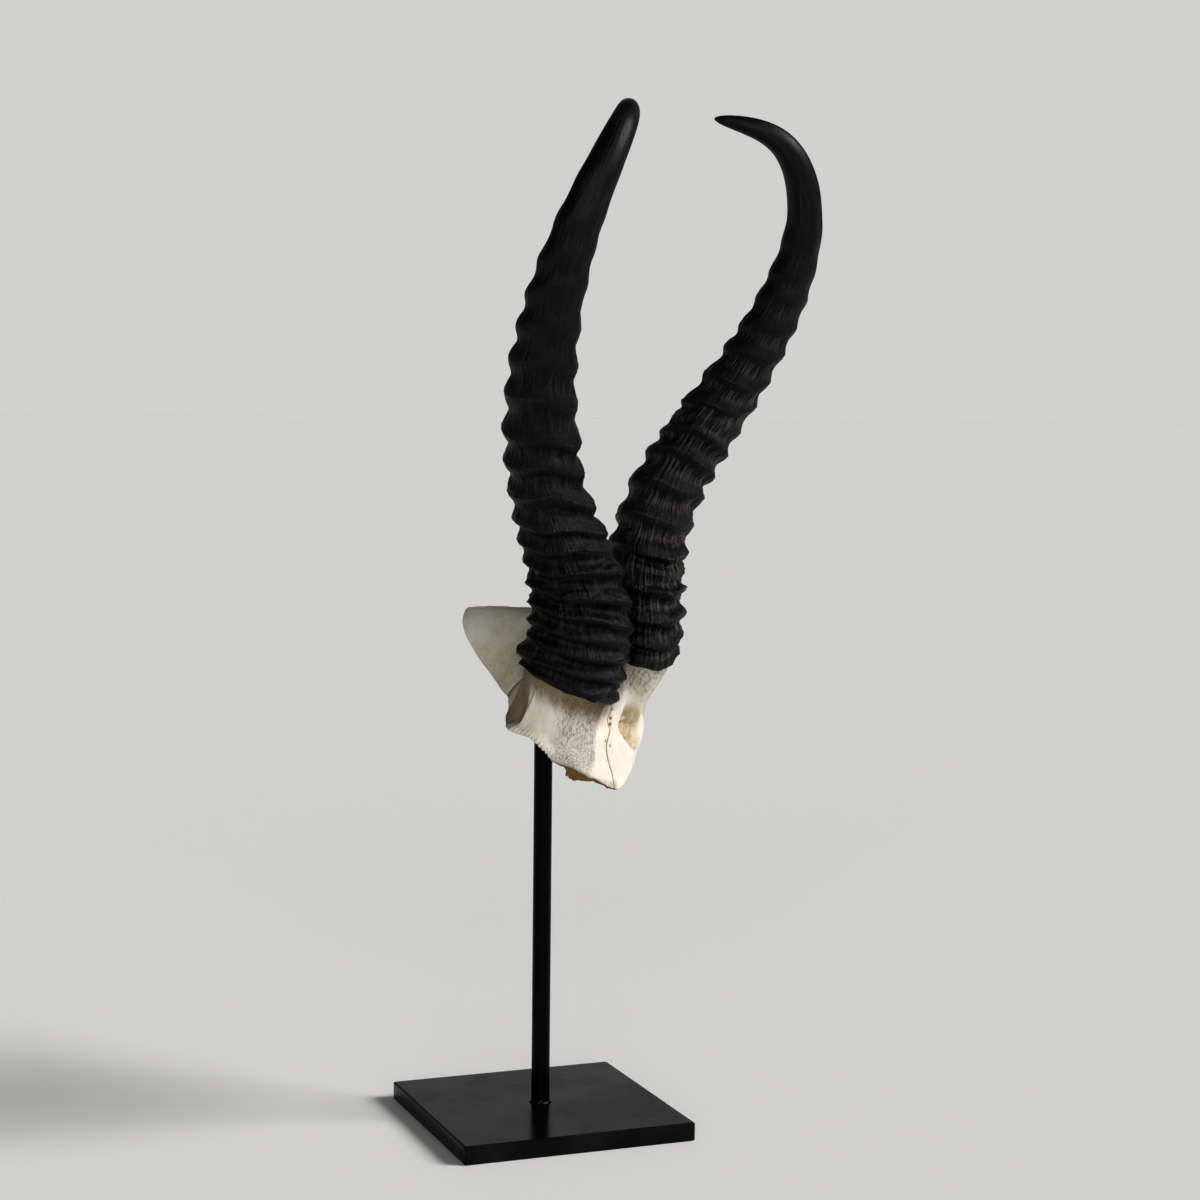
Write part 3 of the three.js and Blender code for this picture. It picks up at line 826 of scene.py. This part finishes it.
boneLook = dict(
    light=(0.79, 0.765, 0.72, 1), cream=(0.735, 0.685, 0.59, 1), tan=(0.225, 0.178, 0.118, 1),
    brown=(0.27, 0.15, 0.032, 1), oliveAndShade=(0.43, 0.39, 0.27, 1), line=(0.12, 0.08, 0.045, 1),
    pore=(0.44, 0.345, 0.245, 1), gold=(0.47, 0.365, 0.205, 1), specular=0.35,
    fibreBump=0.0011, poreBump=0.0007, seamBump=0.0004,  # metres
)


def bonePaint():
    # cream bone; olive low on the braincase's sides, tint with painted shade, left out at its top and
    # back as painted light; golden in the pit; over it pores, stains with a painted shadow under the
    # right sheath, and the seams' thin lines, with painted shade in the frill's grooves and the small
    # holes
    paint, shader = newPaint("boneCream", boneLook["specular"])
    place = stored("onBone", "Vector")
    stainAndShadow, oliveAndShade, porous = stored("stainAndShadow"), stored("oliveAndShade"), stored("porous")
    fibres = grain(place, (0.8, 2.6, 0.8), 4.0, 0.65)
    fine = grain(place, (0.6, 1.4, 0.6), 3.0, 0.7)
    patches = grain(place, (11, 11, 11), 4.0, 0.6)
    mottle = grain(place, (2.4, 3.4, 2.4), 3.0, 0.6)
    wave = addNode("ShaderNodeTexNoise", {"Vector": place, "Scale": 0.7}).outputs["Color"]
    waved = addNode("ShaderNodeVectorMath", {0: place, 1: wave}, operation="ADD").outputs["Vector"]
    # round holes: 1 in the middle of each cell, 0 from four tenths of the way out
    cells = addNode("ShaderNodeTexVoronoi", {"Vector": inCells(waved, (0.75, 1.7, 0.75)), "Scale": 1.0})
    holes = spread(cells.outputs["Distance"], 0.4, 0.14)
    creamy = times(spread(mottle, 0.45, 0.75), 0.4)
    tintedAndShaded = times(oliveAndShade, spread(patches, 0.2, 0.8, 0.6, 1.0))
    yellowed = times(stored("gold"), spread(mottle, 0.3, 0.6, 0.45, 1.0))
    streaks = times(spread(fibres, 0.44, 0.64), spread(porous, 0, 1, 0.1, 0.55))
    dirt = times(holes, spread(fine, 0.42, 0.62), spread(porous, 0, 1, 0.03, 0.32))
    # stains, with the painted shadow under the right sheath
    stainedAndShaded = times(stainAndShadow, spread(mottle, 0.3, 0.7, 0.75, 1.1))
    seamAndShade = sums("ADD", stored("seamAndShade"), times(sums("SUBTRACT", mottle, 0.5), 0.6))
    thin = times(spread(seamAndShade, 0.5, 0.1), 0.75)
    colour = layered(
        boneLook, boneLook["light"], (spread(patches, 0.34, 0.66), "cream"), (creamy, "cream"),
        (tintedAndShaded, "oliveAndShade"), (yellowed, "gold"), (streaks, "pore"), (dirt, "pore"),
        (spread(stainedAndShaded, 0.0, 0.6), "tan"), (spread(stainedAndShaded, 0.62, 1.0), "brown"),
        (thin, "line"))
    depth = spread(porous, 0, 1, 0.2, 1.0)
    normal = bumps(times(fibres, depth), 0.9, boneLook["fibreBump"])
    pores = times(sums("SUBTRACT", fine, holes), depth)
    normal = bumps(pores, 1.0, boneLook["poreBump"], normal)
    normal = bumps(sums("SUBTRACT", 1.0, thin), 0.6, boneLook["seamBump"], normal)
    dress(shader, colour, spread(patches, 0.3, 0.7, 0.6, 0.76), normal)
    return paint


pieces["skull_cap"] = makePiece("skull_cap_bone", bonePaint(), *skullCap())
print("stage 3: skull cap")


stand = dict(side=130.0, thick=10.0, edge=0.9, corner=1.2, rod=5.0, weld=0.9, rodColumns=64)
steelLook = dict(
    # worn is the lighter grey of edge wear and dust, and of the painted highlight on the plate's edges
    black=(0.0025, 0.0025, 0.0027, 1), worn=(0.026, 0.025, 0.024, 1), specular=0.12, roughness=0.24,
)


def steelPaint():
    # satin black, a little lighter at the edges, edge wear with a painted highlight, with a few specks of
    # dust
    paint, shader = newPaint("blackSteel", steelLook["specular"])
    place = addNode("ShaderNodeTexCoord").outputs["Object"]
    peel = grain(place, (0.0007, 0.0007, 0.0007), 2.0, 0.5)
    patches = grain(place, (0.038, 0.038, 0.038), 4.0, 0.6)
    dust = grain(place, (0.0011, 0.0011, 0.0011), 3.0, 0.7)
    share = times(stored("rubbed"), spread(patches, 0.3, 0.7, 0.3, 0.9))
    share = sums("ADD", share, times(spread(dust, 0.64, 0.76), 0.2))
    colour = blendColour(share, steelLook["black"], steelLook["worn"])
    low, high = steelLook["roughness"] - 0.05, steelLook["roughness"] + 0.07
    dress(shader, colour, spread(patches, 0.25, 0.75, low, high), bumps(peel, 0.22, 0.0001))
    return paint


def plateSurface():
    # a profile from the middle of the underside round the edge to the middle of the top, carried round a
    # square with small rounded corners that the profile's inset shrinks
    half, edge, thick, corner = stand["side"] / 2, stand["edge"], stand["thick"], stand["corner"]
    bend = np.linspace(0, np.pi / 2, 7)
    inset = np.r_[60, 30, 8, 2, edge * (1 - np.sin(bend)), edge * (1 - np.cos(bend)), 2, 8, 30, 60]
    rise = np.r_[edge * (1 - np.cos(bend)), thick - edge * (1 - np.sin(bend))]
    level = np.r_[np.zeros(4), rise, np.full(4, thick)]
    sides = np.linspace(-1, 1, 14)[-2:0:-1]
    x = np.r_[half - corner + corner * np.cos(bend), (half - corner) * sides]
    y = np.r_[half - corner + corner * np.sin(bend), np.full(len(sides), half)]
    quarters = np.arange(4)[:, None] * np.pi / 2
    ringX = (x * np.cos(quarters) - y * np.sin(quarters)).ravel()
    ringY = (x * np.sin(quarters) + y * np.cos(quarters)).ravel()
    scale = ((half - inset) / half)[:, None]
    grid = np.stack([ringX * scale, ringY * scale, level[:, None] + 0 * ringX], -1)
    # lighter along the rounded edges: edge wear with a painted highlight
    rubbed = np.broadcast_to(bell(inset - 0.3 * edge, 0.45 * edge)[:, None], grid.shape[:2])
    return *closedGrid(grid, [0, 0, 0], [0, 0, thick]), dict(rubbed=np.r_[rubbed.ravel(), 0, 0])


def rodSurface():
    # radius as a function of height turned about the upright axis, with a little uneven weld at the foot
    top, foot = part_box("post")[1].z / mm, stand["thick"]
    rise = [-0.3, 0, 0.3, 0.7, 1.1, 1.6, 2.2]
    z = np.r_[np.add(rise, foot), np.linspace(foot + 4, top - 0.6, 60), top - 0.2, top]
    around = np.linspace(0, 2 * np.pi, stand["rodColumns"], endpoint=False)[None]
    lift = np.clip(z - foot, 0, None)[:, None]
    uneven = 1 + 0.35 * np.cos(2 * around + 0.6) + 0.22 * np.cos(5 * around + 2)
    uneven = uneven + 0.15 * np.cos(11 * around)
    weld = stand["weld"] * np.clip(1 - lift / 1.6, 0, 1) ** 1.5 * uneven
    radius = stand["rod"] + weld - 0.5 * ease(z, top - 0.6, top)[:, None]
    grid = np.stack([radius * np.cos(around), radius * np.sin(around), z[:, None] + 0 * around], -1)
    rubbed = np.broadcast_to(0.5 * bell(lift - 0.8, 0.5), grid.shape[:2])
    return *closedGrid(grid, [0, 0, z[0]], [0, 0, z[-1]]), dict(rubbed=np.r_[rubbed.ravel(), 0, 0])


blackSteel = steelPaint()
parts = (("base_plate", "base_plate_coated", plateSurface), ("post", "post_rod", rodSurface))
for node, name, surface in parts:
    pieces[node] = makePiece(name, blackSteel, *surface())
print("stage 4: stand")

for node, piece in pieces.items():
    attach(piece, "root")
    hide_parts(node)


room = dict(
    floor=(0.9, 0.905, 0.91, 1), size=400.0,
    wall=(1.0, 0.995, 0.985, 1), wallBright=0.481, wallDim=0.075,
)
# direction it comes from, strength, size in the sky and colour
suns = dict(
    main=((0.71, -0.42, 0.565), 2.12, np.radians(26), (1.0, 0.985, 0.96)),
    fill=((-0.3, -0.94, 0.1), 1.35, np.radians(50), (1.0, 0.99, 0.97)),
)
camera = dict(place=(-0.4476, -1.2190, 0.3884), pan=np.radians(21.488), dip=np.radians(4.435),
              roll=np.radians(0.605), lens=72)


def makeFloor():
    # one flat square that reaches to the skyline
    half = room["size"] / 2
    corners = [(-half, -half, 0), (half, -half, 0), (half, half, 0), (-half, half, 0)]
    mesh = bpy.data.meshes.new("floor")
    mesh.from_pydata(corners, [], [(0, 1, 2, 3)])
    paint, shader = newPaint("paleFloor", 0.0)
    shader.inputs["Base Color"].default_value = room["floor"]
    shader.inputs["Roughness"].default_value = 1.0
    mesh.materials.append(paint)
    floor = placed("floor", mesh)


def makeSuns():
    # each lamp's own z points back to where its light comes from
    for name, (towards, strength, size, colour) in suns.items():
        lamp = bpy.data.lights.new(name, "SUN")
        lamp.energy, lamp.angle, lamp.color = strength, size, colour
        away = np.array(towards) / np.linalg.norm(towards)
        level = np.cross([0, 0, 1], away)
        level /= np.linalg.norm(level)
        placed(name, lamp, [level, np.cross(away, level), away, away * 3])


def makeWorld():
    # lights from low down behind the object, fading overhead and round towards the camera; seen directly
    # it is equally pale all round
    world = bpy.data.worlds.new("paleRoom")
    world.use_nodes = True
    drawing["tree"] = world.node_tree
    towards = addNode("ShaderNodeTexCoord").outputs["Generated"]
    height = addNode("ShaderNodeSeparateXYZ", {0: towards}).outputs["Z"]
    ahead = (np.sin(camera["pan"]), np.cos(camera["pan"]), 0)
    facing = addNode("ShaderNodeVectorMath", {0: towards, 1: ahead}, operation="DOT_PRODUCT")
    low = spread(height, 0.3, 0.7, 1.0, 0.0)
    back = spread(facing.outputs["Value"], 0.78, 0.95)
    seen = addNode("ShaderNodeLightPath").outputs["Is Camera Ray"]
    share = sums("MAXIMUM", times(low, back), seen)
    strength = spread(share, 0.0, 1.0, room["wallDim"], room["wallBright"])
    background = world.node_tree.nodes["Background"]
    background.inputs["Color"].default_value = room["wall"]
    world.node_tree.links.new(strength, background.inputs["Strength"])
    scene.world = world


def makeCamera():
    # looks pan to the right of +Y and dip down, rolled about its own line of sight
    pan, dip, roll = camera["pan"], camera["dip"], camera["roll"]
    ahead = np.array([np.sin(pan) * np.cos(dip), np.cos(pan) * np.cos(dip), -np.sin(dip)])
    level = np.array([np.cos(pan), -np.sin(pan), 0])
    right = np.cos(roll) * level + np.sin(roll) * np.cross(level, ahead)
    lens = bpy.data.cameras.new("camera")
    lens.lens, lens.sensor_width, lens.sensor_fit, lens.clip_end = camera["lens"], 36, "HORIZONTAL", 900
    scene.camera = placed("camera", lens, [right, np.cross(right, ahead), -ahead, camera["place"]])


makeFloor()
makeSuns()
makeWorld()
makeCamera()
view = scene.view_settings
view.view_transform, view.look = "Standard", "High Contrast"
print("stage 5: room")
